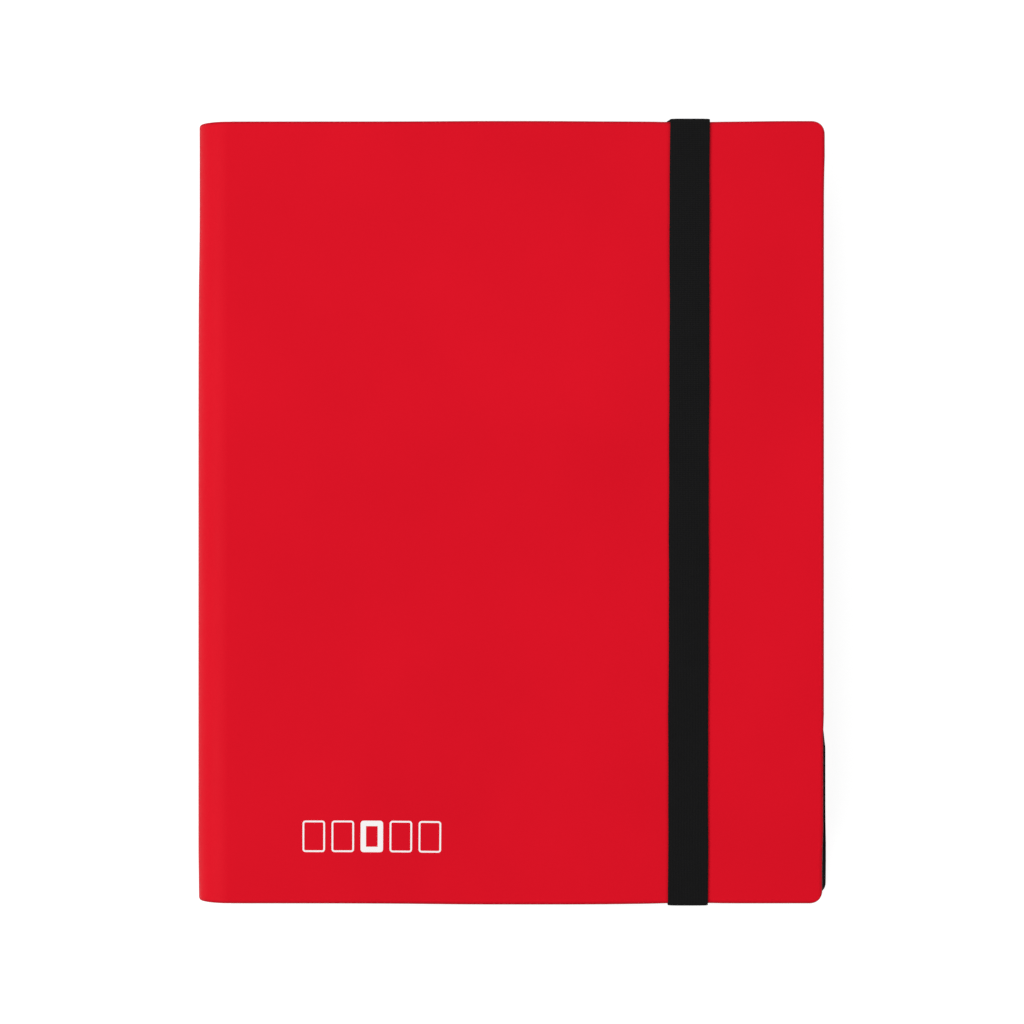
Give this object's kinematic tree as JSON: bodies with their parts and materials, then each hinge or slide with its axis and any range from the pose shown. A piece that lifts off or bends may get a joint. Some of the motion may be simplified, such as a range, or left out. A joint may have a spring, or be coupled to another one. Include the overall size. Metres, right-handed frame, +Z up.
{
  "type": "trading card binder",
  "caption": "Side-loading card binder with a soft rounded spine, turning pocket leaves, hinged covers and an elastic strap that slides off the fore-edge.",
  "frame": {"origin": "middle of the overall box in X and Y, on the surface that the closed binder lies on", "axes": "+X from the spine towards the fore-edge, +Y up the height of the cover, +Z up through the closed binder from the back cover to the front cover"},
  "size_m": [0.254, 0.3152, 0.0282],
  "materials": {
    "cover_sheet": "fine-grained matte red polypropylene",
    "cover_core": "black stiffener sheet",
    "inner_lining": "fine-grained matte black polypropylene",
    "binding_tape": "black woven binding tape",
    "strap_elastic": "black ribbed woven elastic",
    "leaf_sheet": "smooth black polypropylene sheet",
    "pocket_film": "clear film with welded pocket lines"
  },
  "bodies": {
    "back_cover": {"back_cover_skin": "cover_sheet", "back_cover_core": "cover_core", "back_cover_lining": "inner_lining", "back_spine_lining": "inner_lining", "binding_strip": "binding_tape", "strap_tail_top": "strap_elastic", "strap_tail_bottom": "strap_elastic"},
    "leaf_20": {"leaf_20_backing": "leaf_sheet", "leaf_20_pockets": "pocket_film"},
    "leaf_19": {"leaf_19_backing": "leaf_sheet", "leaf_19_pockets": "pocket_film"},
    "leaf_18": {"leaf_18_backing": "leaf_sheet", "leaf_18_pockets": "pocket_film"},
    "leaf_17": {"leaf_17_backing": "leaf_sheet", "leaf_17_pockets": "pocket_film"},
    "leaf_16": {"leaf_16_backing": "leaf_sheet", "leaf_16_pockets": "pocket_film"},
    "leaf_15": {"leaf_15_backing": "leaf_sheet", "leaf_15_pockets": "pocket_film"},
    "leaf_14": {"leaf_14_backing": "leaf_sheet", "leaf_14_pockets": "pocket_film"},
    "leaf_13": {"leaf_13_backing": "leaf_sheet", "leaf_13_pockets": "pocket_film"},
    "leaf_12": {"leaf_12_backing": "leaf_sheet", "leaf_12_pockets": "pocket_film"},
    "leaf_11": {"leaf_11_backing": "leaf_sheet", "leaf_11_pockets": "pocket_film"},
    "leaf_10": {"leaf_10_backing": "leaf_sheet", "leaf_10_pockets": "pocket_film"},
    "leaf_09": {"leaf_09_backing": "leaf_sheet", "leaf_09_pockets": "pocket_film"},
    "leaf_08": {"leaf_08_backing": "leaf_sheet", "leaf_08_pockets": "pocket_film"},
    "leaf_07": {"leaf_07_backing": "leaf_sheet", "leaf_07_pockets": "pocket_film"},
    "leaf_06": {"leaf_06_backing": "leaf_sheet", "leaf_06_pockets": "pocket_film"},
    "leaf_05": {"leaf_05_backing": "leaf_sheet", "leaf_05_pockets": "pocket_film"},
    "leaf_04": {"leaf_04_backing": "leaf_sheet", "leaf_04_pockets": "pocket_film"},
    "leaf_03": {"leaf_03_backing": "leaf_sheet", "leaf_03_pockets": "pocket_film"},
    "leaf_02": {"leaf_02_backing": "leaf_sheet", "leaf_02_pockets": "pocket_film"},
    "leaf_01": {"leaf_01_backing": "leaf_sheet", "leaf_01_pockets": "pocket_film"},
    "front_cover": {"front_cover_skin": "cover_sheet", "front_cover_core": "cover_core", "front_cover_lining": "inner_lining", "front_spine_lining": "inner_lining"},
    "strap": {"strap_band": "strap_elastic"}
  },
  "joints": [
    {"name": "leaf_20_turn", "type": "hinge", "parent": "back_cover", "child": "leaf_20", "pos_m": [-0.12705, 0, 0.0136], "axis": [0, -1, 0], "range_deg": [0, 180]},
    {"name": "leaf_19_turn", "type": "hinge", "parent": "leaf_20", "child": "leaf_19", "pos_m": [-0.12705, 0, 0.0136], "axis": [0, -1, 0], "range_deg": [0, 180]},
    {"name": "leaf_18_turn", "type": "hinge", "parent": "leaf_19", "child": "leaf_18", "pos_m": [-0.12705, 0, 0.0136], "axis": [0, -1, 0], "range_deg": [0, 180]},
    {"name": "leaf_17_turn", "type": "hinge", "parent": "leaf_18", "child": "leaf_17", "pos_m": [-0.12705, 0, 0.0136], "axis": [0, -1, 0], "range_deg": [0, 180]},
    {"name": "leaf_16_turn", "type": "hinge", "parent": "leaf_17", "child": "leaf_16", "pos_m": [-0.12705, 0, 0.0136], "axis": [0, -1, 0], "range_deg": [0, 180]},
    {"name": "leaf_15_turn", "type": "hinge", "parent": "leaf_16", "child": "leaf_15", "pos_m": [-0.12705, 0, 0.0136], "axis": [0, -1, 0], "range_deg": [0, 180]},
    {"name": "leaf_14_turn", "type": "hinge", "parent": "leaf_15", "child": "leaf_14", "pos_m": [-0.12705, 0, 0.0136], "axis": [0, -1, 0], "range_deg": [0, 180]},
    {"name": "leaf_13_turn", "type": "hinge", "parent": "leaf_14", "child": "leaf_13", "pos_m": [-0.12705, 0, 0.0136], "axis": [0, -1, 0], "range_deg": [0, 180]},
    {"name": "leaf_12_turn", "type": "hinge", "parent": "leaf_13", "child": "leaf_12", "pos_m": [-0.12705, 0, 0.0136], "axis": [0, -1, 0], "range_deg": [0, 180]},
    {"name": "leaf_11_turn", "type": "hinge", "parent": "leaf_12", "child": "leaf_11", "pos_m": [-0.12705, 0, 0.0136], "axis": [0, -1, 0], "range_deg": [0, 180]},
    {"name": "leaf_10_turn", "type": "hinge", "parent": "leaf_11", "child": "leaf_10", "pos_m": [-0.12705, 0, 0.0136], "axis": [0, -1, 0], "range_deg": [0, 180]},
    {"name": "leaf_09_turn", "type": "hinge", "parent": "leaf_10", "child": "leaf_09", "pos_m": [-0.12705, 0, 0.0136], "axis": [0, -1, 0], "range_deg": [0, 180]},
    {"name": "leaf_08_turn", "type": "hinge", "parent": "leaf_09", "child": "leaf_08", "pos_m": [-0.12705, 0, 0.0136], "axis": [0, -1, 0], "range_deg": [0, 180]},
    {"name": "leaf_07_turn", "type": "hinge", "parent": "leaf_08", "child": "leaf_07", "pos_m": [-0.12705, 0, 0.0136], "axis": [0, -1, 0], "range_deg": [0, 180]},
    {"name": "leaf_06_turn", "type": "hinge", "parent": "leaf_07", "child": "leaf_06", "pos_m": [-0.12705, 0, 0.0136], "axis": [0, -1, 0], "range_deg": [0, 180]},
    {"name": "leaf_05_turn", "type": "hinge", "parent": "leaf_06", "child": "leaf_05", "pos_m": [-0.12705, 0, 0.0136], "axis": [0, -1, 0], "range_deg": [0, 180]},
    {"name": "leaf_04_turn", "type": "hinge", "parent": "leaf_05", "child": "leaf_04", "pos_m": [-0.12705, 0, 0.0136], "axis": [0, -1, 0], "range_deg": [0, 180]},
    {"name": "leaf_03_turn", "type": "hinge", "parent": "leaf_04", "child": "leaf_03", "pos_m": [-0.12705, 0, 0.0136], "axis": [0, -1, 0], "range_deg": [0, 180]},
    {"name": "leaf_02_turn", "type": "hinge", "parent": "leaf_03", "child": "leaf_02", "pos_m": [-0.12705, 0, 0.0136], "axis": [0, -1, 0], "range_deg": [0, 180]},
    {"name": "leaf_01_turn", "type": "hinge", "parent": "leaf_02", "child": "leaf_01", "pos_m": [-0.12705, 0, 0.0136], "axis": [0, -1, 0], "range_deg": [0, 180]},
    {"name": "front_cover_turn", "type": "hinge", "parent": "leaf_01", "child": "front_cover", "pos_m": [-0.12705, 0, 0.0136], "axis": [0, -1, 0], "range_deg": [0, 180]},
    {"name": "strap_slide", "type": "slide", "parent": "back_cover", "child": "strap", "axis": [1, 0, 0], "range_m": [0, 0.072]}
  ]
}
